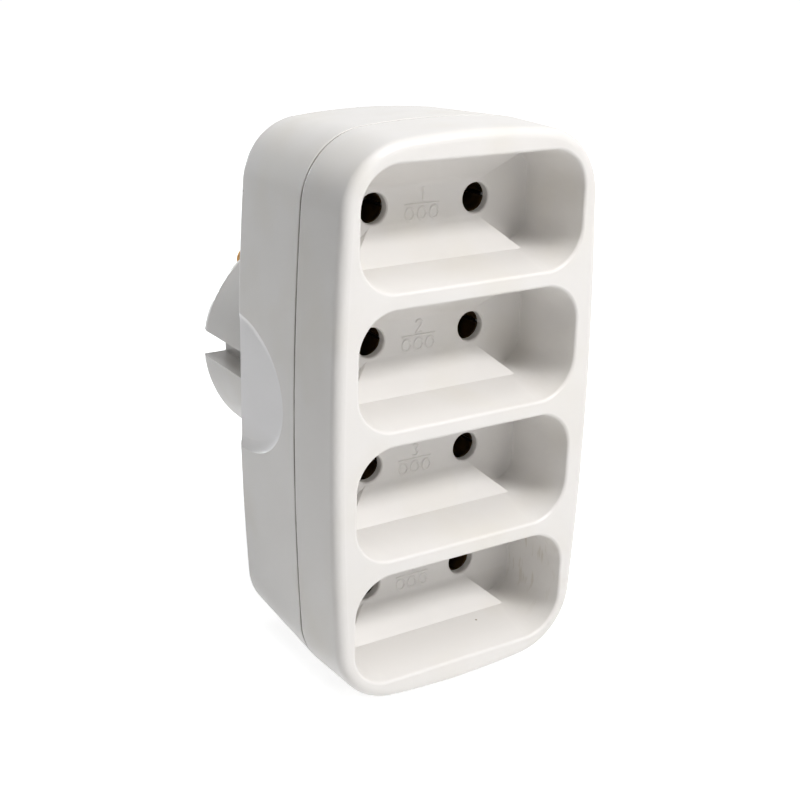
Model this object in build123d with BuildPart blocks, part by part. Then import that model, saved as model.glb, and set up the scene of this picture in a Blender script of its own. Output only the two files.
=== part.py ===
"""Four-way two-pin socket adapter: a moulded two-part housing with a round wall plug on its back.

Millimetres. The origin is the centre of the housing's back face, on the plug's axis.
+Y points along the plug into the wall, +Z is up, and the sockets face -Y.
"""

from build123d import *
import os
from math import hypot, radians, tan

os.makedirs("parts", exist_ok=True)

# Sockets: the pin spacing is the standard 19 mm, and the recesses are moulded pockets
SOCKET_ROWS = 4
PIN_PITCH = 19.0
SOCKET_HOLE_RADIUS = 2.45
SOCKET_HOLE_EDGE = 0.2
RECESS_WIDTH = 40.0
RECESS_HEIGHT = 18.7
RECESS_CORNER = 6.5
RECESS_DEPTH = 14.0
RECESS_RIM_ROUND = 0.5
RECESS_SIDE_DRAFT = 0.5
RECESS_END_DRAFT = 2.0
RECESS_FLOOR_CORNER = 4.0
RECESS_FLOOR_ROUND = 0.2
RECESS_FLOOR_WALL = 1.5
RECESS_WEB = 2.5
RAMP_FOOT_HEIGHT = 6.4
RAMP_RISE = 4.3
RAMP_FOOT_ROUND = 1.4
RAMP_TO_HOLE_EDGE = 0.01
RAMP_LENGTH = 19.8
RAMP_END_ANGLE = 42.0
MATE_PIN_LENGTH = 19.0

# Housing outline and walls
SIDE_RIM = 4.0
END_RIM = 3.95
SIDE_BULGE = 1.9
END_BULGE = 1.9
CORNER_RADIUS = 11.0
FRONT_ROUND = 1.6
BACK_ROUND = 1.5
FRONT_FLARE = 0.25
REAR_TAPER = 1.15
SEAM_BEFORE_FLOOR = 1.9
SEAM_GAP = 0.25
SEAM_LIP_ROUND = 0.4
SEAM_EDGE_ROUND = 0.15
SHELL_WALL = 1.8
BACK_WALL = 2.2
SPIGOT_CLEARANCE = 0.2
TIP_CLEARANCE = 0.2
TIP_WALL = 0.8
TIP_RELIEF_MARGIN = 0.4

# Finger scoops in the sides of the rear shell
SCOOP_REACH = 18.9
SCOOP_HALF_HEIGHT = 12.8
SCOOP_ABOVE_MIDDLE = 1.0
SCOOP_DEPTH = 0.9
SCOOP_BACK_DEPTH = 0.7
SCOOP_BLEND = 3.0
SCOOP_PAD = 1.2

# Wall plug
PLUG_RADIUS = 19.3
PLUG_LENGTH = 21.7
PLUG_LEAD_LENGTH = 1.3
PLUG_LEAD_DROP = 0.35
PLUG_WALL = 2.0
PLUG_FACE = 4.0
CLIP_GROOVE_WIDTH = 4.6
CLIP_GROOVE_DEPTH = 4.6
CLIP_GROOVE_ABOVE_MIDDLE = 0.8
GUIDE_GROOVE_WIDTH = 5.5
GUIDE_GROOVE_DEPTH = 2.5

# Plug pins
PLUG_PIN_RADIUS = 2.4
PLUG_PIN_LENGTH = 20.8
PLUG_PIN_TIP_ROUND = 0.9
PIN_SHANK_RADIUS = 2.8
PIN_COLLAR_RADIUS = 3.4
PIN_COLLAR_LENGTH = 1.2
PIN_RIVET_RADIUS = 1.5
PIN_RIVET_HEAD_RADIUS = 2.8
PIN_RIVET_HEAD_LENGTH = 0.8

# Bus strips and contacts
STRIP_WIDTH = 7.0
STRIP_THICKNESS = 0.8
STRIP_STANDOFF = 1.8
STRIP_END = 5.5
STRIP_FOOT_EDGE = 3.2
LEG_WIDTH = 5.0
LEG_FROM_MIDDLE = 1.8
PEG_RADIUS = 1.2
PEG_HEIGHT = 0.5
SEAT_LENGTH = 4.0
SEAT_MARGIN = 0.5
END_SEAT_LENGTH = 1.6
SLEEVE_WALL = 0.75
SLEEVE_SPIGOT_STEP = 0.3
SLEEVE_RIM = 0.3
SLEEVE_RIM_LENGTH = 0.5
SLEEVE_MOUTH_CLEARANCE = 0.3
SLEEVE_SLOT_WIDTH = 0.7
SLEEVE_SLOT_LENGTH = 8.0
SPRING_WIRE_RADIUS = 0.45
SPRING_FROM_MOUTH = 1.6
SPRING_ARC = 320.0

# Shell screws
SCREW_FROM_MIDDLE = 27.0
SCREW_RADIUS = 1.5
SCREW_LENGTH = 13.0
SCREW_HEAD_RADIUS = 2.8
SCREW_HEAD_LENGTH = 2.0
SCREW_HEAD_SUNK = 0.3
SCREW_SLOT_WIDTH = 0.8
SCREW_SLOT_DEPTH = 1.0
SCREW_TIP_CLEARANCE = 1.0
BOSS_WALL = 1.3
BOSS_REACH = 7.8

# Clearances between round pieces that fit into each other, and how near two radii are to count as one
FIT_CLEARANCE = 0.05
HEAD_CLEARANCE = 0.3
SAME_RADIUS = 0.01

# Sizes that follow from the driving dimensions
SOCKET_PITCH = RECESS_HEIGHT + RECESS_WEB
ROW_HEIGHTS = [((SOCKET_ROWS - 1) / 2 - row) * SOCKET_PITCH for row in range(SOCKET_ROWS)]
SIDES = {"left": -1, "right": 1}
WIDTH = RECESS_WIDTH + 2 * SIDE_RIM
HEIGHT = (SOCKET_ROWS - 1) * SOCKET_PITCH + RECESS_HEIGHT + 2 * END_RIM
DEPTH = RECESS_DEPTH + MATE_PIN_LENGTH + TIP_CLEARANCE + TIP_WALL
FLOOR_WIDTH = RECESS_WIDTH - 2 * RECESS_SIDE_DRAFT
FLOOR_HEIGHT = RECESS_HEIGHT - 2 * RECESS_END_DRAFT
BACK_GROW = FRONT_FLARE - REAR_TAPER

# Places across the bus strips
SEAT_HEIGHT = (SOCKET_ROWS - 2) / 2 * SOCKET_PITCH
STRIP_HALF_LENGTH = ROW_HEIGHTS[0] + STRIP_END
END_SEAT_HEIGHT = STRIP_HALF_LENGTH - END_SEAT_LENGTH / 2
LEG_MIDDLE = LEG_FROM_MIDDLE + LEG_WIDTH / 2

# Places along the depth
FRONT_Y = -DEPTH
FLOOR_Y = FRONT_Y + RECESS_DEPTH
FLOOR_BACK_Y = FLOOR_Y + RECESS_FLOOR_WALL
SEAM_Y = FLOOR_Y - SEAM_BEFORE_FLOOR
REAR_RIM_Y = SEAM_Y + SEAM_GAP
BACK_WALL_Y = -BACK_WALL
STRIP_BACK_Y = BACK_WALL_Y - STRIP_STANDOFF
STRIP_FRONT_Y = STRIP_BACK_Y - STRIP_THICKNESS
SLEEVE_MOUTH_Y = FLOOR_BACK_Y + SLEEVE_MOUTH_CLEARANCE
BOSS_SPLIT_Y = BACK_WALL_Y - BOSS_REACH
HEAD_SEAT_Y = -(SCREW_HEAD_LENGTH + SCREW_HEAD_SUNK)
PLUG_FACE_Y = PLUG_LENGTH - PLUG_FACE
COLLAR_Y = PLUG_FACE_Y - PIN_COLLAR_LENGTH
FOOT_Y = COLLAR_Y - STRIP_THICKNESS

# Radii that fit each other
SLEEVE_RADIUS = SOCKET_HOLE_RADIUS + SLEEVE_WALL
SLEEVE_SPIGOT_RADIUS = SLEEVE_RADIUS - SLEEVE_SPIGOT_STEP
SLEEVE_RIM_RADIUS = SLEEVE_RADIUS + SLEEVE_RIM
SCREW_HOLE_RADIUS = SCREW_RADIUS + FIT_CLEARANCE
COUNTERBORE_RADIUS = SCREW_HEAD_RADIUS + HEAD_CLEARANCE
BOSS_RADIUS = COUNTERBORE_RADIUS + BOSS_WALL


def upright(y):
    """Plane parallel to the front face at the given y, with x to the right and z up."""
    return Plane.XZ.offset(-y)


def along_y(x, z):
    """Axis parallel to the plug's axis through the given x and z."""
    return Axis((x, 0, z), (0, 1, 0))


def grow_at(y):
    """How far the rear shell's outline stands outside the front outline at the given y."""
    return FRONT_FLARE + (BACK_GROW - FRONT_FLARE) * (y - SEAM_Y) / -SEAM_Y


def housing_section(y, grow):
    """Pillow-shaped section of the housing at y, grown outwards all round by grow."""
    half_width = WIDTH / 2 + grow
    half_height = HEIGHT / 2 + grow
    corner_x = half_width - SIDE_BULGE
    corner_z = half_height - END_BULGE
    with BuildSketch(upright(y)) as section:
        with BuildLine():
            ThreePointArc((-corner_x, corner_z), (0, half_height), (corner_x, corner_z))
            ThreePointArc((corner_x, corner_z), (half_width, 0), (corner_x, -corner_z))
            ThreePointArc((corner_x, -corner_z), (0, -half_height), (-corner_x, -corner_z))
            ThreePointArc((-corner_x, -corner_z), (-half_width, 0), (-corner_x, corner_z))
        make_face()
        fillet(section.vertices(), CORNER_RADIUS + grow)
    return section.sketch


# Floor ramp: the wedge left standing in a recess between its floor and its upper wall. The floor
# bends up into it in a small round, it rises straight to the wall, and its ends are cut off at a slant.
# The round keeps clear of the holes' edges, and is smaller where the floor leaves it less room
ramp_foot = Vector(FLOOR_Y, RAMP_FOOT_HEIGHT / 2)
ramp_top = Vector(FLOOR_Y - RAMP_RISE, FLOOR_HEIGHT / 2 + RECESS_END_DRAFT * RAMP_RISE / RECESS_DEPTH)
ramp_way = (ramp_top - ramp_foot).normalized()
floor_way = Vector(0, 1)
foot_turn = tan(radians(ramp_way.get_angle(floor_way) / 2))
foot_room = ramp_foot.Y - SOCKET_HOLE_RADIUS - SOCKET_HOLE_EDGE - RAMP_TO_HOLE_EDGE
round_reach = min(RAMP_FOOT_ROUND * foot_turn, foot_room)
round_start = ramp_foot - floor_way * round_reach
round_end = ramp_foot + ramp_way * round_reach
wedge_height = RECESS_HEIGHT / 2 - round_start.Y
wedge_base = RAMP_LENGTH / 2 + wedge_height / tan(radians(RAMP_END_ANGLE))
with BuildPart() as floor_ramp:
    with BuildSketch(Plane.YZ):
        with BuildLine():
            Polyline(
                round_end,
                ramp_top,
                (ramp_top.X, RECESS_HEIGHT / 2),
                (FLOOR_BACK_Y, RECESS_HEIGHT / 2),
                (FLOOR_BACK_Y, round_start.Y),
                round_start,
            )
            TangentArc(round_start, round_end, tangent=floor_way)
        make_face()
    extrude(amount=wedge_base, both=True)
    with BuildSketch(upright(FLOOR_BACK_Y)):
        with BuildLine():
            Polyline(
                (-RAMP_LENGTH / 2, round_start.Y),
                (RAMP_LENGTH / 2, round_start.Y),
                (wedge_base, RECESS_HEIGHT / 2),
                (-wedge_base, RECESS_HEIGHT / 2),
                close=True,
            )
        make_face()
    extrude(amount=FLOOR_BACK_Y - FRONT_Y, mode=Mode.INTERSECT)


# One socket recess: a drafted pocket with a ramp from its floor to each of its long walls
with BuildPart() as recess_tool:
    with BuildSketch(upright(FRONT_Y)):
        RectangleRounded(RECESS_WIDTH, RECESS_HEIGHT, RECESS_CORNER)
    with BuildSketch(upright(FLOOR_Y)):
        RectangleRounded(FLOOR_WIDTH, FLOOR_HEIGHT, RECESS_FLOOR_CORNER)
    loft(ruled=True)
    fillet(recess_tool.faces().sort_by(Axis.Y)[-1].edges(), RECESS_FLOOR_ROUND)
    add(floor_ramp.part, mode=Mode.SUBTRACT)
    add(floor_ramp.part.mirror(Plane.XY), mode=Mode.SUBTRACT)


# Front shell: one moulding with the four recesses, a spigot that enters the rear shell,
# and two screw bosses behind the recess floors
with BuildPart() as front_shell:
    loft([housing_section(FRONT_Y, 0), housing_section(SEAM_Y, FRONT_FLARE)], ruled=True)
    fillet(front_shell.faces().sort_by(Axis.Y)[0].edges(), FRONT_ROUND)
    fillet(front_shell.faces().sort_by(Axis.Y)[-1].edges(), SEAM_LIP_ROUND)
    spigot_grow = grow_at(FLOOR_BACK_Y) - SHELL_WALL - SPIGOT_CLEARANCE
    extrude(housing_section(SEAM_Y, spigot_grow), amount=SEAM_Y - FLOOR_BACK_Y)
    with BuildSketch(upright(FLOOR_BACK_Y)):
        with GridLocations(0, 2 * SCREW_FROM_MIDDLE, 1, 2):
            Circle(BOSS_RADIUS)
    extrude(amount=FLOOR_BACK_Y - BOSS_SPLIT_Y)
    with BuildSketch(upright(BOSS_SPLIT_Y)):
        with GridLocations(0, 2 * SCREW_FROM_MIDDLE, 1, 2):
            Circle(SCREW_HOLE_RADIUS)
    extrude(
        amount=SCREW_LENGTH - (HEAD_SEAT_Y - BOSS_SPLIT_Y) + SCREW_TIP_CLEARANCE,
        mode=Mode.SUBTRACT,
    )
    with Locations(*[(0, 0, z) for z in ROW_HEIGHTS]):
        add(recess_tool.part, mode=Mode.SUBTRACT)
    fillet(front_shell.faces().sort_by(Axis.Y)[0].inner_wires().edges(), RECESS_RIM_ROUND)
    with BuildSketch(upright(FLOOR_BACK_Y)):
        with GridLocations(PIN_PITCH, SOCKET_PITCH, 2, SOCKET_ROWS):
            Circle(SOCKET_HOLE_RADIUS)
    extrude(amount=RECESS_FLOOR_WALL, mode=Mode.SUBTRACT)
    chamfer(
        front_shell.edges()
        .filter_by(GeomType.CIRCLE)
        .filter_by(lambda edge: abs(edge.radius - SOCKET_HOLE_RADIUS) < SAME_RADIUS)
        .group_by(Axis.Y)[0],
        SOCKET_HOLE_EDGE,
    )
front_shell.part.label = "front_shell"
export_step(front_shell.part, "parts/front_shell.step")


# Finger scoop for the right-hand side: a shallow slope that is open at the back edge, deepens a
# little towards the front and ends in a rounded rim
slope_back_x = WIDTH / 2 + BACK_GROW - SCOOP_BACK_DEPTH
slope_front_x = WIDTH / 2 + grow_at(-SCOOP_REACH) - SCOOP_DEPTH
slope_rise = slope_front_x - slope_back_x
scoop_slope = Plane(
    origin=(slope_back_x, 0, SCOOP_ABOVE_MIDDLE),
    x_dir=(slope_rise, -SCOOP_REACH, 0),
    z_dir=(SCOOP_REACH, slope_rise, 0),
)
with BuildPart() as scoop_tool:
    with BuildSketch(scoop_slope):
        Ellipse(hypot(SCOOP_REACH, slope_rise), SCOOP_HALF_HEIGHT)
    extrude(amount=2 * SCOOP_BLEND)
    fillet(scoop_tool.faces().sort_by(Axis.X)[0].edges(), SCOOP_BLEND)


# Rear shell: the back half of the housing and the hollow round plug body in one moulding
with BuildPart() as rear_shell:
    loft(
        [housing_section(REAR_RIM_Y, grow_at(REAR_RIM_Y)), housing_section(0, BACK_GROW)],
        ruled=True,
    )
    fillet(rear_shell.faces().sort_by(Axis.Y)[-1].edges(), BACK_ROUND)
    fillet(rear_shell.faces().sort_by(Axis.Y)[0].edges(), SEAM_EDGE_ROUND)
    # Plug body with its lead-in taper
    with BuildSketch(Plane.XY):
        with BuildLine():
            Polyline(
                (0, 0),
                (PLUG_RADIUS, 0),
                (PLUG_RADIUS, PLUG_LENGTH - PLUG_LEAD_LENGTH),
                (PLUG_RADIUS - PLUG_LEAD_DROP, PLUG_LENGTH),
                (0, PLUG_LENGTH),
                close=True,
            )
        make_face()
    revolve(axis=Axis.Y)
    # Grooves for the wall socket's earth clips, at the sides, and guide ribs, above and below
    with BuildSketch(upright(0)):
        with Locations((0, CLIP_GROOVE_ABOVE_MIDDLE)):
            with GridLocations(2 * PLUG_RADIUS, 0, 2, 1):
                Rectangle(2 * CLIP_GROOVE_DEPTH, CLIP_GROOVE_WIDTH)
        with GridLocations(0, 2 * PLUG_RADIUS, 1, 2):
            Rectangle(GUIDE_GROOVE_WIDTH, 2 * GUIDE_GROOVE_DEPTH)
    extrude(amount=-PLUG_LENGTH, mode=Mode.SUBTRACT)
    # Hollow of the housing and of the plug body
    loft(
        [
            housing_section(REAR_RIM_Y, grow_at(REAR_RIM_Y) - SHELL_WALL),
            housing_section(BACK_WALL_Y, grow_at(BACK_WALL_Y) - SHELL_WALL),
        ],
        ruled=True,
        mode=Mode.SUBTRACT,
    )
    with BuildSketch(upright(BACK_WALL_Y)):
        Circle(PLUG_RADIUS - PLUG_WALL)
        with Locations((0, CLIP_GROOVE_ABOVE_MIDDLE)):
            with GridLocations(2 * PLUG_RADIUS, 0, 2, 1):
                Rectangle(
                    2 * (CLIP_GROOVE_DEPTH + PLUG_WALL),
                    CLIP_GROOVE_WIDTH + 2 * PLUG_WALL,
                    mode=Mode.SUBTRACT,
                )
        with GridLocations(0, 2 * PLUG_RADIUS, 1, 2):
            Rectangle(
                GUIDE_GROOVE_WIDTH + 2 * PLUG_WALL,
                2 * (GUIDE_GROOVE_DEPTH + PLUG_WALL),
                mode=Mode.SUBTRACT,
            )
    extrude(amount=BACK_WALL_Y - PLUG_FACE_Y, mode=Mode.SUBTRACT)
    # Pads that keep the wall thick behind the finger scoops, then the scoops
    pad_inner_x = slope_back_x - SHELL_WALL - SCOOP_PAD
    with BuildSketch(upright(BACK_WALL_Y)):
        with Locations((0, SCOOP_ABOVE_MIDDLE)):
            with GridLocations(2 * pad_inner_x + SHELL_WALL + SCOOP_PAD, 0, 2, 1):
                Rectangle(SHELL_WALL + SCOOP_PAD, 2 * SCOOP_HALF_HEIGHT)
    extrude(amount=BACK_WALL_Y - FLOOR_BACK_Y - SPIGOT_CLEARANCE)
    add(scoop_tool.part, mode=Mode.SUBTRACT)
    add(scoop_tool.part.mirror(Plane.YZ), mode=Mode.SUBTRACT)
    # Screw bosses with clearance holes and counterbored head seats
    with BuildSketch(upright(BACK_WALL_Y)):
        with GridLocations(0, 2 * SCREW_FROM_MIDDLE, 1, 2):
            Circle(BOSS_RADIUS)
    extrude(amount=BOSS_REACH)
    with BuildSketch(upright(0)):
        with GridLocations(0, 2 * SCREW_FROM_MIDDLE, 1, 2):
            Circle(SCREW_HOLE_RADIUS)
    extrude(amount=-BOSS_SPLIT_Y, mode=Mode.SUBTRACT)
    with BuildSketch(upright(0)):
        with GridLocations(0, 2 * SCREW_FROM_MIDDLE, 1, 2):
            Circle(COUNTERBORE_RADIUS)
    extrude(amount=-HEAD_SEAT_Y, mode=Mode.SUBTRACT)
    # Seats and pegs that hold the bus strips
    with BuildSketch(upright(BACK_WALL_Y)):
        with GridLocations(PIN_PITCH, 2 * SEAT_HEIGHT, 2, 2):
            Rectangle(STRIP_WIDTH - 2 * SEAT_MARGIN, SEAT_LENGTH)
        with GridLocations(PIN_PITCH, 2 * END_SEAT_HEIGHT, 2, 2):
            Rectangle(STRIP_WIDTH - 2 * SEAT_MARGIN, END_SEAT_LENGTH)
    extrude(amount=STRIP_STANDOFF)
    with BuildSketch(upright(STRIP_BACK_Y)):
        with GridLocations(PIN_PITCH, 2 * SEAT_HEIGHT, 2, 2):
            Circle(PEG_RADIUS)
    extrude(amount=STRIP_THICKNESS + PEG_HEIGHT)
    # Pockets in the back wall for the tips of the plugs that are put in
    with BuildSketch(upright(BACK_WALL_Y)):
        with GridLocations(PIN_PITCH, SOCKET_PITCH, 2, SOCKET_ROWS):
            Circle(SOCKET_HOLE_RADIUS + TIP_RELIEF_MARGIN)
    extrude(amount=TIP_WALL - BACK_WALL, mode=Mode.SUBTRACT)
    # Holes for the plug pins
    with BuildSketch(upright(PLUG_FACE_Y)):
        with GridLocations(0, PIN_PITCH, 1, 2):
            Circle(PIN_SHANK_RADIUS + FIT_CLEARANCE)
    extrude(amount=-PLUG_FACE, mode=Mode.SUBTRACT)
rear_shell.part.label = "rear_shell"
export_step(rear_shell.part, "parts/rear_shell.step")


# Bus strips: two like stampings, each joining one hole of every socket to one plug pin.
# The right-hand one is the left-hand one turned half round the plug's axis
for name, side in SIDES.items():
    strip_inner_x = PIN_PITCH / 2 - STRIP_WIDTH / 2
    foot_top_z = PIN_PITCH / 2 + STRIP_FOOT_EDGE
    foot_middle_x = (strip_inner_x - STRIP_FOOT_EDGE) / 2
    foot_middle_z = (foot_top_z + LEG_FROM_MIDDLE) / 2
    with BuildPart() as bus_strip:
        with BuildSketch(upright(STRIP_BACK_Y)):
            with Locations((side * PIN_PITCH / 2, 0)):
                Rectangle(STRIP_WIDTH, 2 * STRIP_HALF_LENGTH)
        extrude(amount=STRIP_THICKNESS)
        # Leg down into the plug body
        with BuildSketch(upright(STRIP_FRONT_Y)):
            with Locations((side * (strip_inner_x - STRIP_THICKNESS / 2), -side * LEG_MIDDLE)):
                Rectangle(STRIP_THICKNESS, LEG_WIDTH)
        extrude(amount=STRIP_FRONT_Y - COLLAR_Y)
        # Foot under the pin's collar
        with BuildSketch(upright(COLLAR_Y)):
            with Locations((side * foot_middle_x, -side * foot_middle_z)):
                Rectangle(strip_inner_x + STRIP_FOOT_EDGE, foot_top_z - LEG_FROM_MIDDLE)
        extrude(amount=STRIP_THICKNESS)
        with BuildSketch(upright(STRIP_BACK_Y)):
            with Locations(*[(side * PIN_PITCH / 2, z) for z in ROW_HEIGHTS]):
                Circle(SLEEVE_SPIGOT_RADIUS + FIT_CLEARANCE)
            with Locations(*[(side * PIN_PITCH / 2, z) for z in (-SEAT_HEIGHT, SEAT_HEIGHT)]):
                Circle(PEG_RADIUS + FIT_CLEARANCE)
        extrude(amount=STRIP_THICKNESS, mode=Mode.SUBTRACT)
        with BuildSketch(upright(COLLAR_Y)):
            with Locations((0, -side * PIN_PITCH / 2)):
                Circle(PIN_RIVET_RADIUS + FIT_CLEARANCE)
        extrude(amount=STRIP_THICKNESS, mode=Mode.SUBTRACT)
    bus_strip.part.label = f"bus_strip_{name}"
    export_step(bus_strip.part, f"parts/bus_strip_{name}.step")


# Contact sleeves: slotted turned sleeves, swaged into the strips, each with a spring ring
for row, z in enumerate(ROW_HEIGHTS, start=1):
    for name, side in SIDES.items():
        x = side * PIN_PITCH / 2
        with BuildPart() as contact_sleeve:
            with BuildSketch(Plane.XY.offset(z)):
                with BuildLine():
                    Polyline(
                        (x + SOCKET_HOLE_RADIUS, SLEEVE_MOUTH_Y),
                        (x + SLEEVE_RADIUS, SLEEVE_MOUTH_Y),
                        (x + SLEEVE_RADIUS, STRIP_FRONT_Y),
                        (x + SLEEVE_SPIGOT_RADIUS, STRIP_FRONT_Y),
                        (x + SLEEVE_SPIGOT_RADIUS, STRIP_BACK_Y),
                        (x + SLEEVE_RIM_RADIUS, STRIP_BACK_Y),
                        (x + SLEEVE_RIM_RADIUS, STRIP_BACK_Y + SLEEVE_RIM_LENGTH),
                        (x + SOCKET_HOLE_RADIUS, STRIP_BACK_Y + SLEEVE_RIM_LENGTH),
                        close=True,
                    )
                make_face()
            revolve(axis=along_y(x, z))
            with BuildSketch(upright(SLEEVE_MOUTH_Y)):
                with Locations((x, z)):
                    Rectangle(2 * SLEEVE_RIM_RADIUS, SLEEVE_SLOT_WIDTH)
                    Rectangle(SLEEVE_SLOT_WIDTH, 2 * SLEEVE_RIM_RADIUS)
            extrude(amount=-SLEEVE_SLOT_LENGTH, mode=Mode.SUBTRACT)
        contact_sleeve.part.label = f"contact_sleeve_{row}_{name}"
        export_step(contact_sleeve.part, f"parts/contact_sleeve_{row}_{name}.step")

        ring_radius = SLEEVE_RADIUS + FIT_CLEARANCE + SPRING_WIRE_RADIUS
        with BuildPart() as sleeve_spring:
            with BuildSketch(Plane.XY.offset(z)):
                with Locations((x + ring_radius, SLEEVE_MOUTH_Y + SPRING_FROM_MOUTH)):
                    Circle(SPRING_WIRE_RADIUS)
            revolve(axis=along_y(x, z), revolution_arc=SPRING_ARC)
        sleeve_spring.part.label = f"sleeve_spring_{row}_{name}"
        export_step(sleeve_spring.part, f"parts/sleeve_spring_{row}_{name}.step")


# Plug pins: turned, with a collar and a thicker shank in the plug face, riveted over the strip's foot
for name, z in {"upper": PIN_PITCH / 2, "lower": -PIN_PITCH / 2}.items():
    with BuildPart() as plug_pin:
        with BuildSketch(Plane.XY.offset(z)):
            with BuildLine():
                Polyline(
                    (0, FOOT_Y - PIN_RIVET_HEAD_LENGTH),
                    (PIN_RIVET_HEAD_RADIUS, FOOT_Y - PIN_RIVET_HEAD_LENGTH),
                    (PIN_RIVET_HEAD_RADIUS, FOOT_Y),
                    (PIN_RIVET_RADIUS, FOOT_Y),
                    (PIN_RIVET_RADIUS, COLLAR_Y),
                    (PIN_COLLAR_RADIUS, COLLAR_Y),
                    (PIN_COLLAR_RADIUS, PLUG_FACE_Y),
                    (PIN_SHANK_RADIUS, PLUG_FACE_Y),
                    (PIN_SHANK_RADIUS, PLUG_LENGTH),
                    (PLUG_PIN_RADIUS, PLUG_LENGTH),
                    (PLUG_PIN_RADIUS, PLUG_LENGTH + PLUG_PIN_LENGTH),
                    (0, PLUG_LENGTH + PLUG_PIN_LENGTH),
                    close=True,
                )
            make_face()
        revolve(axis=along_y(0, z))
        fillet(plug_pin.edges().sort_by(Axis.Y)[-1], PLUG_PIN_TIP_ROUND)
    plug_pin.part.label = f"plug_pin_{name}"
    export_step(plug_pin.part, f"parts/plug_pin_{name}.step")


# Shell screws: two slotted pan-head screws put in from the back
with BuildPart() as shell_screws:
    with BuildSketch(upright(HEAD_SEAT_Y)):
        with GridLocations(0, 2 * SCREW_FROM_MIDDLE, 1, 2):
            Circle(SCREW_RADIUS)
    extrude(amount=SCREW_LENGTH)
    with BuildSketch(upright(HEAD_SEAT_Y)):
        with GridLocations(0, 2 * SCREW_FROM_MIDDLE, 1, 2):
            Circle(SCREW_HEAD_RADIUS)
    extrude(amount=-SCREW_HEAD_LENGTH)
    with BuildSketch(upright(HEAD_SEAT_Y + SCREW_HEAD_LENGTH)):
        with GridLocations(0, 2 * SCREW_FROM_MIDDLE, 1, 2):
            Rectangle(2 * COUNTERBORE_RADIUS, SCREW_SLOT_WIDTH)
    extrude(amount=SCREW_SLOT_DEPTH, mode=Mode.SUBTRACT)
shell_screws.part.label = "shell_screws"
export_step(shell_screws.part, "parts/shell_screws.step")
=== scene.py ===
import bpy
import math
import numpy as np
from mathutils import Matrix, Vector


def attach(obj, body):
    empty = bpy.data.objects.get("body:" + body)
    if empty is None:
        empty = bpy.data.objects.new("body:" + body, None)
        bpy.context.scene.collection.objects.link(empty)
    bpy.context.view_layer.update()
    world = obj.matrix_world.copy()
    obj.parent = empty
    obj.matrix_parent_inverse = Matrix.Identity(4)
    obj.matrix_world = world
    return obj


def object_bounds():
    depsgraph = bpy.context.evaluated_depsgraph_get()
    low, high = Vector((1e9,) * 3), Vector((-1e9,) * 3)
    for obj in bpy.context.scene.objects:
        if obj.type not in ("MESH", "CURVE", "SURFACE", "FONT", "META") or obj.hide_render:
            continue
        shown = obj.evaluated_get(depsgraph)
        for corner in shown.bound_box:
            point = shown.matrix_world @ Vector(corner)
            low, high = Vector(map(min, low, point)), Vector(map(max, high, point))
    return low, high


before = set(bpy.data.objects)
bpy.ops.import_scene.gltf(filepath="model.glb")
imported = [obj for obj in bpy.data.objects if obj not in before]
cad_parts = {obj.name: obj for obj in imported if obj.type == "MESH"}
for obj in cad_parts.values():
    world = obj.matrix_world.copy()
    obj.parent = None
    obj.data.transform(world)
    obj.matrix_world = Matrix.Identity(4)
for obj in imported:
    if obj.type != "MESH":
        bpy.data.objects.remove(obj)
cad_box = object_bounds()

scene = bpy.context.scene
scene.view_settings.view_transform = "Standard"
MM = 0.001


# Camera: the photograph's viewpoint, from the left, above and in front of the sockets.
# Its place, turn and focal length are the ones at which the rims and holes fall on the photograph's.
IMAGE_SIZE_PX = 800.0
FOCAL_LENGTH_PX = 1345.75
IMAGE_CENTRE_PX = (390.69, 378.02)
SENSOR_WIDTH_MM = 36.0
CAMERA_PLACE_MM = (-114.96, -190.09, 73.90)
CAMERA_AZIMUTH_DEG = -32.706
CAMERA_ELEVATION_DEG = 19.026
CAMERA_ROLL_DEG = 1.211
NEAREST_SEEN_MM = 10.0


def direction(azimuth_deg, elevation_deg):
    """Unit vector from the object towards that azimuth, 0 in front and 90 to the right, and elevation."""
    azimuth = math.radians(azimuth_deg)
    elevation = math.radians(elevation_deg)
    return Vector((
        math.sin(azimuth) * math.cos(elevation),
        -math.cos(azimuth) * math.cos(elevation),
        math.sin(elevation),
    ))


towards_camera = direction(CAMERA_AZIMUTH_DEG, CAMERA_ELEVATION_DEG)
level_right = Vector((0, 0, 1)).cross(towards_camera).normalized()
level_up = towards_camera.cross(level_right)
roll = Matrix.Rotation(math.radians(CAMERA_ROLL_DEG), 3, towards_camera)
turn = Matrix((roll @ level_right, roll @ level_up, towards_camera)).transposed()
camera_data = bpy.data.cameras.new("photo_camera")
camera_data.sensor_width = SENSOR_WIDTH_MM
camera_data.lens = SENSOR_WIDTH_MM * FOCAL_LENGTH_PX / IMAGE_SIZE_PX
camera_data.shift_x = 0.5 - IMAGE_CENTRE_PX[0] / IMAGE_SIZE_PX
camera_data.shift_y = IMAGE_CENTRE_PX[1] / IMAGE_SIZE_PX - 0.5
camera_data.clip_start = NEAREST_SEEN_MM * MM
camera = bpy.data.objects.new("photo_camera", camera_data)
camera.matrix_world = Matrix.Translation(Vector(CAMERA_PLACE_MM) * MM) @ turn.to_4x4()
scene.collection.objects.link(camera)
scene.camera = camera


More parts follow.
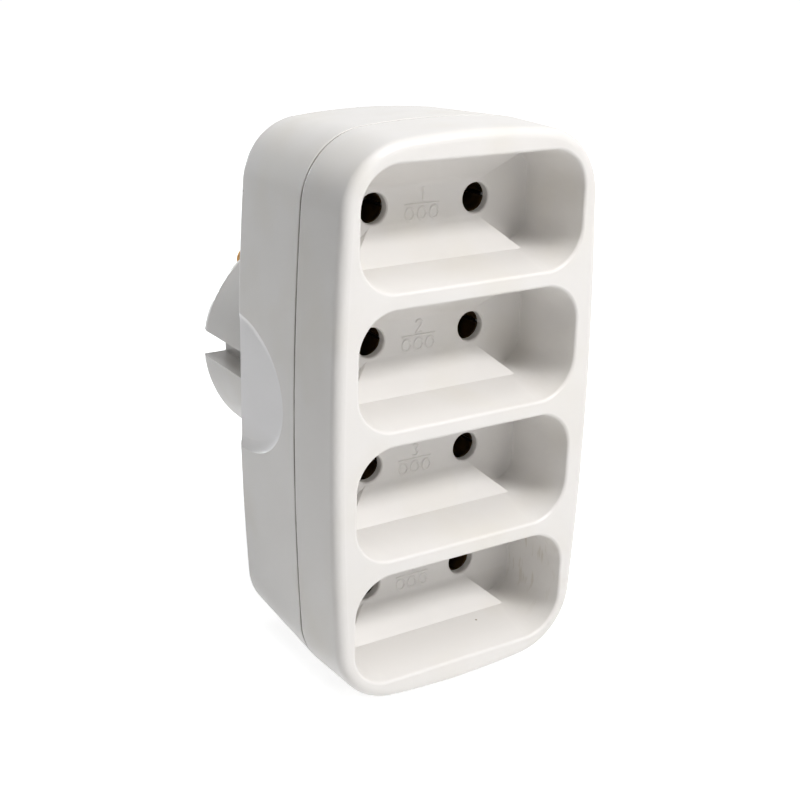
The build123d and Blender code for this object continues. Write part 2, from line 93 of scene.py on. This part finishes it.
# Shells: the housing's two mouldings, in white plastic with a half gloss. Age has left it a little
# creamy in patches, with small dark specks, fine scuffs and dirt along the seam where the shells meet.
# The scoops in the sides are painted lighter as painted light, and the front shell's lip at the seam carries
# a painted highlight.
PLASTIC_COLOUR = (0.745, 0.727, 0.705, 1.0)
PLASTIC_ROUGHNESS = (0.30, 0.42)
PLASTIC_IOR = 1.46
STAIN_COLOUR = (0.71, 0.68, 0.62, 1.0)
STAIN_SCALE = 70.0
STAIN_CHOSEN = (0.5, 0.72)
STAIN_STRENGTH = 0.5
# Painted light on the scoops: a lighter colour for the light their hollows catch.
SCOOP_PAINTED_LIGHT_COLOUR = (0.86, 0.85, 0.855, 1.0)
SCOOP_SIZE_MM = (18.1, 11.7)
SCOOP_ABOVE_MM = 1.0
SCOOP_EDGE = (0.965, 1.0)
SCOOP_FADE_MM = (-10.0, -5.0)
SCOOP_FADE_LEAST = 0.3
SIDES_MM = (20.0, 21.0)
SPECK_COLOUR = (0.22, 0.18, 0.13, 1.0)
SPECK_SCALE = 230.0
SPECK_SIZE = (0.03, 0.055)
SPECK_CHOSEN = (0.90, 0.94)
SEAM_MM = -21.75
SEAM_HALF_SIZE_MM = (24.1, 45.3)
SEAM_OUTSIDE = (0.72, 0.82)
DIRT_COLOUR = (0.16, 0.13, 0.10, 1.0)
DIRT_REACH_MM = (0.08, 0.14)
DIRT_SCALE = 180.0
DIRT_CHOSEN = (0.3, 0.6)
DIRT_LEAST = 0.35
# Painted highlight along the front shell's lip at the seam.
LIP_HIGHLIGHT_COLOUR = (0.93, 0.92, 0.90, 1.0)
LIP_MM = -22.13
LIP_REACH_MM = (0.14, 0.22)
SCUFF_COLOUR = (0.66, 0.63, 0.58, 1.0)
SCUFF_PLACE_MM = (19.0, -26.0, -31.0)
SCUFF_REACH_MM = (4.0, 10.0)
SCUFF_STRETCH = (60.0, 900.0, 260.0)
SCUFF_CHOSEN = (0.56, 0.66)
WEAR_SCALE = 140.0
WEAR_RANGE = (0.3, 0.7)
CLOUD_DETAIL = 2.0
PEEL_SCALE = 1400.0
PEEL_HEIGHT_MM = 0.02
PEEL_STRENGTH = 0.12


def add_node(tree, kind, inputs, **properties):
    """New node of that kind, each input set to its value or joined to it if it is another node's output."""
    node = tree.nodes.new(kind)
    for name, value in properties.items():
        setattr(node, name, value)
    for name, value in inputs.items():
        if isinstance(value, bpy.types.NodeSocket):
            tree.links.new(value, node.inputs[name])
        else:
            node.inputs[name].default_value = value
    return node


def start_finish(name, roughness, metallic):
    """New material with its node tree, its shader and the object's own coordinates in metres."""
    material = bpy.data.materials.new(name)
    material.use_nodes = True
    tree = material.node_tree
    shader = tree.nodes["Principled BSDF"]
    shader.inputs["Roughness"].default_value = roughness
    shader.inputs["Metallic"].default_value = metallic
    place = add_node(tree, "ShaderNodeTexCoord", {}).outputs["Object"]
    return material, tree, shader, place


def cloud(tree, place, scale):
    """Soft random pattern between 0 and 1, with that many patches to the metre."""
    inputs = {"Vector": place, "Scale": scale, "Detail": CLOUD_DETAIL}
    return add_node(tree, "ShaderNodeTexNoise", inputs).outputs["Fac"]


def ramp(tree, value, start, end, low=0.0, high=1.0):
    """Value carried from the range start to end onto the range low to high, and held at the ends."""
    inputs = {"Value": value, "From Min": start, "From Max": end, "To Min": low, "To Max": high}
    return add_node(tree, "ShaderNodeMapRange", inputs).outputs["Result"]


def maths(tree, operation, first, second):
    """One sum on two values."""
    return add_node(tree, "ShaderNodeMath", {0: first, 1: second}, operation=operation).outputs["Value"]


def vector_maths(tree, operation, first, second, result):
    """One sum on two vectors; result names the output, Vector or Value."""
    return add_node(tree, "ShaderNodeVectorMath", {0: first, 1: second}, operation=operation).outputs[result]


def mixed(tree, amount, first, second):
    """Colour that goes from first to second as amount goes from 0 to 1."""
    inputs = {"Fac": amount, "Color1": first, "Color2": second}
    return add_node(tree, "ShaderNodeMixRGB", inputs).outputs["Color"]


def paint(finish, names):
    """Gives a finish to the CAD nodes of those names."""
    for name in names:
        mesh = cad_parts[name].data
        mesh.materials.clear()
        mesh.materials.append(finish)


def size_of(tree, value):
    """The value without its sign."""
    return add_node(tree, "ShaderNodeMath", {0: value}, operation="ABSOLUTE").outputs["Value"]


def band(tree, depth, middle_mm, reach_mm):
    """1 round that depth, falling to 0 from the first to the second distance from it."""
    offset = maths(tree, "SUBTRACT", depth, middle_mm * MM)
    distance = size_of(tree, offset)
    return ramp(tree, distance, reach_mm[0] * MM, reach_mm[1] * MM, 1.0, 0.0)


plastic, tree, shader, place = start_finish("housing_plastic", PLASTIC_ROUGHNESS[0], 0.0)
shader.inputs["IOR"].default_value = PLASTIC_IOR
stained = ramp(tree, cloud(tree, place, STAIN_SCALE), STAIN_CHOSEN[0], STAIN_CHOSEN[1])
stain = maths(tree, "MULTIPLY", stained, STAIN_STRENGTH)
colour = mixed(tree, stain, PLASTIC_COLOUR, STAIN_COLOUR)
across, depth, height = add_node(tree, "ShaderNodeSeparateXYZ", {"Vector": place}).outputs
on_sides = ramp(tree, size_of(tree, across), SIDES_MM[0] * MM, SIDES_MM[1] * MM)
# Painted light: the scoops are painted lighter, fading towards their lower ends, for the light their hollows
# catch.
from_scoop = vector_maths(tree, "SUBTRACT", place, (0.0, 0.0, SCOOP_ABOVE_MM * MM), "Vector")
scoop_size = (0.0, 1 / (SCOOP_SIZE_MM[0] * MM), 1 / (SCOOP_SIZE_MM[1] * MM))
scoop_spread = vector_maths(tree, "MULTIPLY", from_scoop, scoop_size, "Vector")
to_rim = vector_maths(tree, "DISTANCE", scoop_spread, (0.0, 0.0, 0.0), "Value")
scoop_painted_light = maths(
    tree,
    "MULTIPLY",
    ramp(tree, to_rim, SCOOP_EDGE[0], SCOOP_EDGE[1], 1.0, 0.0),
    ramp(tree, height, SCOOP_FADE_MM[0] * MM, SCOOP_FADE_MM[1] * MM, SCOOP_FADE_LEAST, 1.0),
)
colour = mixed(tree, maths(tree, "MULTIPLY", scoop_painted_light, on_sides), colour, SCOOP_PAINTED_LIGHT_COLOUR)
cells = add_node(tree, "ShaderNodeTexVoronoi", {"Vector": place, "Scale": SPECK_SCALE})
near_cell = ramp(tree, cells.outputs["Distance"], SPECK_SIZE[0], SPECK_SIZE[1], 1.0, 0.0)
cell_chance = add_node(tree, "ShaderNodeSeparateColor", {"Color": cells.outputs["Color"]}).outputs["Red"]
speck = maths(tree, "MULTIPLY", near_cell, ramp(tree, cell_chance, SPECK_CHOSEN[0], SPECK_CHOSEN[1]))
colour = mixed(tree, speck, colour, SPECK_COLOUR)
seam_dirt = maths(
    tree,
    "MULTIPLY",
    band(tree, depth, SEAM_MM, DIRT_REACH_MM),
    ramp(tree, cloud(tree, place, DIRT_SCALE), DIRT_CHOSEN[0], DIRT_CHOSEN[1], DIRT_LEAST, 1.0),
)
seam_size = (1 / (SEAM_HALF_SIZE_MM[0] * MM), 0.0, 1 / (SEAM_HALF_SIZE_MM[1] * MM))
across_seam = vector_maths(tree, "MULTIPLY", place, seam_size, "Vector")
squared = vector_maths(tree, "MULTIPLY", across_seam, across_seam, "Vector")
fourth = vector_maths(tree, "MULTIPLY", squared, squared, "Vector")
sixth_powers = vector_maths(tree, "DOT_PRODUCT", fourth, squared, "Value")
outside = ramp(tree, sixth_powers, SEAM_OUTSIDE[0], SEAM_OUTSIDE[1])
colour = mixed(tree, maths(tree, "MULTIPLY", seam_dirt, outside), colour, DIRT_COLOUR)
# Painted highlight: a pale band along the lip, where its rounding catches the light from behind.
painted_lip_highlight = maths(tree, "MULTIPLY", band(tree, depth, LIP_MM, LIP_REACH_MM), outside)
colour = mixed(tree, painted_lip_highlight, colour, LIP_HIGHLIGHT_COLOUR)
from_scuff = vector_maths(tree, "DISTANCE", place, Vector(SCUFF_PLACE_MM) * MM, "Value")
stretched = vector_maths(tree, "MULTIPLY", place, SCUFF_STRETCH, "Vector")
scuff = maths(
    tree,
    "MULTIPLY",
    ramp(tree, from_scuff, SCUFF_REACH_MM[0] * MM, SCUFF_REACH_MM[1] * MM, 1.0, 0.0),
    ramp(tree, cloud(tree, stretched, 1.0), SCUFF_CHOSEN[0], SCUFF_CHOSEN[1]),
)
colour = mixed(tree, scuff, colour, SCUFF_COLOUR)
tree.links.new(colour, shader.inputs["Base Color"])
wear = ramp(
    tree,
    cloud(tree, place, WEAR_SCALE),
    WEAR_RANGE[0],
    WEAR_RANGE[1],
    PLASTIC_ROUGHNESS[0],
    PLASTIC_ROUGHNESS[1],
)
tree.links.new(wear, shader.inputs["Roughness"])
peel_inputs = {
    "Strength": PEEL_STRENGTH,
    "Distance": PEEL_HEIGHT_MM * MM,
    "Height": cloud(tree, place, PEEL_SCALE),
}
peel = add_node(tree, "ShaderNodeBump", peel_inputs)
tree.links.new(peel.outputs["Normal"], shader.inputs["Normal"])
paint(plastic, ["front_shell", "rear_shell"])


# Brass: the turned plug pins, the stamped bus strips and the turned contact sleeves.
# The pins are golden brown, with fine turning rings; the pieces inside carry painted shade, a near-black
# brass for the dark inside the holes.
PIN_BRASS = (0.34, 0.17, 0.03, 1.0)
# The pins' tarnish colour, which is also the lighter of the two painted-shade colours inside.
TARNISH_AND_SHADE_BRASS = (0.16, 0.095, 0.035, 1.0)
INNER_SHADE_BRASS = (0.05, 0.033, 0.017, 1.0)
PIN_ROUGHNESS = 0.28
PIN_TARNISH = 0.5
INNER_ROUGHNESS = 0.45
INNER_SHADE_PATCHES = 1.0
TARNISH_SCALE = 300.0
TARNISH_CHOSEN = (0.35, 0.7)
TURNING_SCALE = 5000.0
TURNING_RANGE = (0.3, 0.7)
TURNING_ROUGHENS = 1.5


def brass_finish(name, bright, dull, roughness, tarnish):
    """Brass with turning rings along the plug's axis, browned in patches by the given amount."""
    material, tree, shader, place = start_finish(name, roughness, 1.0)
    browned = ramp(tree, cloud(tree, place, TARNISH_SCALE), TARNISH_CHOSEN[0], TARNISH_CHOSEN[1])
    patches = maths(tree, "MULTIPLY", browned, tarnish)
    tree.links.new(mixed(tree, patches, bright, dull), shader.inputs["Base Color"])
    rings = cloud(tree, vector_maths(tree, "MULTIPLY", place, (0.0, TURNING_SCALE, 0.0), "Vector"), 1.0)
    rougher = ramp(tree, rings, TURNING_RANGE[0], TURNING_RANGE[1], roughness, TURNING_ROUGHENS * roughness)
    tree.links.new(rougher, shader.inputs["Roughness"])
    return material


pin_brass = brass_finish("pin_brass", PIN_BRASS, TARNISH_AND_SHADE_BRASS, PIN_ROUGHNESS, PIN_TARNISH)
# Painted shade: the bus strips and sleeves get near-black brass to stand in for the shade inside the housing.
shaded_inner_brass = brass_finish("shaded_inner_brass", TARNISH_AND_SHADE_BRASS, INNER_SHADE_BRASS, INNER_ROUGHNESS, INNER_SHADE_PATCHES)
paint(pin_brass, ["plug_pin_upper", "plug_pin_lower"])
paint(shaded_inner_brass, [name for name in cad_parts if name.startswith(("bus_strip", "contact_sleeve"))])


# Steel: the spring-wire rings round the sleeves and the two slotted screws in the back.
# The wire is drawn and left dark; the screws are zinc plated, with a cloudy grey bloom.
WIRE_STEEL = (0.20, 0.20, 0.21, 1.0)
ZINC_BRIGHT = (0.66, 0.66, 0.64, 1.0)
ZINC_CLOUD = (0.42, 0.42, 0.43, 1.0)
WIRE_ROUGHNESS = 0.4
ZINC_ROUGHNESS = 0.35
BLOOM_SCALE = 700.0
BLOOM_CHOSEN = (0.35, 0.65)


def steel_finish(name, bright, cloudy, roughness):
    """Bare or plated steel, clouded in small patches."""
    material, tree, shader, place = start_finish(name, roughness, 1.0)
    bloom = ramp(tree, cloud(tree, place, BLOOM_SCALE), BLOOM_CHOSEN[0], BLOOM_CHOSEN[1])
    tree.links.new(mixed(tree, bloom, bright, cloudy), shader.inputs["Base Color"])
    return material


wire = steel_finish("spring_steel", ZINC_CLOUD, WIRE_STEEL, WIRE_ROUGHNESS)
zinc = steel_finish("screw_steel", ZINC_BRIGHT, ZINC_CLOUD, ZINC_ROUGHNESS)
paint(wire, [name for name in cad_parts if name.startswith("sleeve_spring")])
paint(zinc, ["shell_screws"])


# Outlet marks: raised beads moulded on each recess floor between the holes. A plain outlet number stands
# over a bar and three rings, all generic, in the housing's plastic.
OUTLETS = 4
OUTLET_PITCH_MM = 21.2
RECESS_FLOOR_MM = -20.0
BEAD_HALF_WIDTH_MM = 0.2
BEAD_HEIGHT_MM = 0.14
BEAD_STEP_MM = 0.08
BEAD_LEAST_STEPS = 4
BEAD_SIDES = 10
BEAD_END_LEAST = 0.1
NUMBER_SIZE_MM = 1.05
NUMBER_PLACE_MM = (-0.6, 1.5)
BAR_MM = ((-3.9, 0.0), (2.6, 0.0))
RING_PLACES_MM = ((-2.9, -1.45), (-0.65, -1.45), (1.6, -1.45))
RING_RADII_MM = (0.75, 0.95)
RING_POINTS = 25
NUMBER_STROKES = {
    1: [[(-0.35, 0.55), (0.15, 1.0), (0.15, -1.0)]],
    2: [[(-0.55, 0.5), (-0.35, 0.9), (0.1, 1.0), (0.5, 0.7), (0.4, 0.15), (-0.55, -1.0), (0.6, -1.0)]],
    3: [[(-0.5, 0.85), (0.05, 1.0), (0.5, 0.6), (0.1, 0.05), (0.55, -0.45), (0.1, -1.0), (-0.55, -0.8)]],
    4: [[(0.25, -1.0), (0.25, 1.0), (-0.6, -0.4), (0.65, -0.4)]],
}


def even_steps(path):
    """Points at even small steps along the straight lines that join the path's corners."""
    corners = np.array(path, dtype=float)
    lengths = np.hypot(*np.diff(corners, axis=0).T)
    along = np.concatenate([[0.0], np.cumsum(lengths)])
    steps = np.linspace(0.0, along[-1], max(BEAD_LEAST_STEPS, int(along[-1] / BEAD_STEP_MM)))
    return np.stack([np.interp(steps, along, corners[:, axis]) for axis in (0, 1)], axis=1)


def bead(path):
    """Bead along a path on the floor: at each step an ellipse stands across the path, the bead's half width
    sideways and its height out of the floor, both shrunk towards the ends as in a half circle.
    Gives the vertices in metres, ring after ring."""
    points = even_steps(path)
    ways = np.gradient(points, axis=0)
    ways /= np.linalg.norm(ways, axis=1)[:, None]
    across = np.stack([-ways[:, 1], ways[:, 0]], axis=1)
    steps = np.concatenate([[0.0], np.cumsum(np.hypot(*np.diff(points, axis=0).T))])
    to_end = np.minimum(steps, steps[-1] - steps) / BEAD_HALF_WIDTH_MM
    shrink = np.sqrt(np.clip(1.0 - np.clip(1.0 - to_end, 0.0, 1.0) ** 2, BEAD_END_LEAST**2, 1.0))
    angles = np.linspace(0.0, 2 * np.pi, BEAD_SIDES, endpoint=False)
    sideways = BEAD_HALF_WIDTH_MM * shrink[:, None] * np.cos(angles)
    out = BEAD_HEIGHT_MM * shrink[:, None] * np.sin(angles)
    x = points[:, :1] + across[:, :1] * sideways
    z = points[:, 1:] + across[:, 1:] * sideways
    y = RECESS_FLOOR_MM - out
    return np.stack([x, y, z], axis=2).reshape(-1, 3) * MM


def bead_faces(vertex_count, start):
    """Faces between neighbouring rings of a bead whose vertices begin at start, with a face over each end."""
    rings = vertex_count // BEAD_SIDES
    ring, side = np.meshgrid(np.arange(rings - 1), np.arange(BEAD_SIDES), indexing="ij")
    near = start + ring * BEAD_SIDES + side
    far = start + ring * BEAD_SIDES + (side + 1) % BEAD_SIDES
    quads = np.stack([near, far, far + BEAD_SIDES, near + BEAD_SIDES], axis=2).reshape(-1, 4).tolist()
    first = (start + np.arange(BEAD_SIDES)[::-1]).tolist()
    last = (start + (rings - 1) * BEAD_SIDES + np.arange(BEAD_SIDES)).tolist()
    return quads + [first, last]


def outlet_mark(number, height_mm):
    """One mark: the outlet's number, the bar and the rings, on the recess floor at that height."""
    strokes = [
        np.array(NUMBER_PLACE_MM) + NUMBER_SIZE_MM * np.array(stroke)
        for stroke in NUMBER_STROKES[number]
    ]
    strokes.append(BAR_MM)
    turns = np.linspace(0.0, 2 * np.pi, RING_POINTS)
    for middle_x, middle_z in RING_PLACES_MM:
        ring_x = middle_x + RING_RADII_MM[0] * np.cos(turns)
        ring_z = middle_z + RING_RADII_MM[1] * np.sin(turns)
        strokes.append(np.stack([ring_x, ring_z], axis=1))
    vertices = []
    faces = []
    for stroke in strokes:
        points = bead(stroke)
        faces += bead_faces(len(points), sum(len(group) for group in vertices))
        vertices.append(points)
    mesh = bpy.data.meshes.new(f"outlet_mark_{number}")
    mesh.from_pydata((np.concatenate(vertices) + (0.0, 0.0, height_mm * MM)).tolist(), [], faces)
    mesh.shade_smooth()
    mesh.materials.append(plastic)
    mark = bpy.data.objects.new(f"outlet_mark_{number}", mesh)
    scene.collection.objects.link(mark)
    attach(mark, "root")


for number in range(1, OUTLETS + 1):
    outlet_mark(number, ((OUTLETS + 1) / 2 - number) * OUTLET_PITCH_MM)


# Floor: a plain pale sheet under the housing's lower end. The camera, and what mirrors it, sees it go over
# to pure white away from the object, and it keeps the object's soft shadow.
FLOOR_HALF_WIDTH = 20.0
FLOOR_BELOW_MM = 0.2
FLOOR_COLOUR = (0.90, 0.90, 0.90, 1.0)
GLOW_NEAR_MM = 60.0
GLOW_FAR_MM = 320.0
GLOW_RANGE = (0.8, 1.0)


def seen_as_background(tree):
    """1 for rays that leave the camera, a glossy surface or glass, and 0 for the rest."""
    path = add_node(tree, "ShaderNodeLightPath", {}).outputs
    camera_or_gloss = maths(tree, "MAXIMUM", path["Is Camera Ray"], path["Is Glossy Ray"])
    return maths(tree, "MAXIMUM", camera_or_gloss, path["Is Transmission Ray"])


floor_height = cad_box[0].z - FLOOR_BELOW_MM * MM
floor_mesh = bpy.data.meshes.new("floor")
corners = [(-1, -1), (1, -1), (1, 1), (-1, 1)]
floor_mesh.from_pydata(
    [(x * FLOOR_HALF_WIDTH, y * FLOOR_HALF_WIDTH, floor_height) for x, y in corners],
    [],
    [(0, 1, 2, 3)],
)
floor = bpy.data.objects.new("floor", floor_mesh)
scene.collection.objects.link(floor)
floor_material = bpy.data.materials.new("floor")
floor_material.use_nodes = True
tree = floor_material.node_tree
tree.nodes.clear()
place = add_node(tree, "ShaderNodeTexCoord", {}).outputs["Object"]
from_object = vector_maths(tree, "DISTANCE", place, (0.0, 0.0, 0.0), "Value")
glow = ramp(tree, from_object, GLOW_NEAR_MM * MM, GLOW_FAR_MM * MM, GLOW_RANGE[0], GLOW_RANGE[1])
seen_glow = maths(tree, "MULTIPLY", glow, seen_as_background(tree))
light = add_node(tree, "ShaderNodeEmission", {"Strength": seen_glow})
sheet = add_node(tree, "ShaderNodeBsdfDiffuse", {"Color": FLOOR_COLOUR})
both = add_node(tree, "ShaderNodeAddShader", {0: sheet.outputs["BSDF"], 1: light.outputs["Emission"]})
add_node(tree, "ShaderNodeOutputMaterial", {"Surface": both.outputs["Shader"]})
floor_mesh.materials.append(floor_material)


# Studio light: soft lamps round the object, all at the same distance. A narrow one in front makes the
# shadows in the recesses. The room is white where it is seen or mirrored, and gives no other light.
LAMP_DISTANCE_MM = 700.0
LAMP_AIM_MM = (0.0, -20.0, 0.0)
WIDE_LAMP_MM = 450.0
NARROW_LAMP_MM = 150.0
WARM_WHITE = (1.0, 0.99, 0.985)
COOL_WHITE = (0.94, 0.975, 1.0)


def soft_lamp(name, azimuth_deg, elevation_deg, width_mm, power, colour):
    """Round lamp of that width and colour at that azimuth and elevation, facing the housing."""
    data = bpy.data.lights.new(name, "AREA")
    data.shape = "DISK"
    data.size = width_mm * MM
    data.energy = power
    data.color = colour
    lamp = bpy.data.objects.new(name, data)
    lamp.location = direction(azimuth_deg, elevation_deg) * LAMP_DISTANCE_MM * MM
    lamp.rotation_mode = "QUATERNION"
    lamp.rotation_quaternion = (Vector(LAMP_AIM_MM) * MM - lamp.location).to_track_quat("-Z", "Y")
    scene.collection.objects.link(lamp)


soft_lamp("key_lamp", 18.0, 44.0, NARROW_LAMP_MM, 2.95, WARM_WHITE)
soft_lamp("high_front_lamp", 0.0, 67.0, WIDE_LAMP_MM, 2.1, WARM_WHITE)
soft_lamp("low_front_lamp", 20.0, 20.0, WIDE_LAMP_MM, 0.45, WARM_WHITE)
soft_lamp("left_lamp", -80.0, 80.0, WIDE_LAMP_MM, 0.9, COOL_WHITE)
soft_lamp("back_left_lamp", -150.0, 40.0, WIDE_LAMP_MM, 0.2, COOL_WHITE)
soft_lamp("back_lamp", -177.0, 3.0, NARROW_LAMP_MM, 0.9, COOL_WHITE)
room = bpy.data.worlds.new("room")
room.use_nodes = True
tree = room.node_tree
background = tree.nodes["Background"]
background.inputs["Color"].default_value = (1.0, 1.0, 1.0, 1.0)
tree.links.new(seen_as_background(tree), background.inputs["Strength"])
scene.world = room
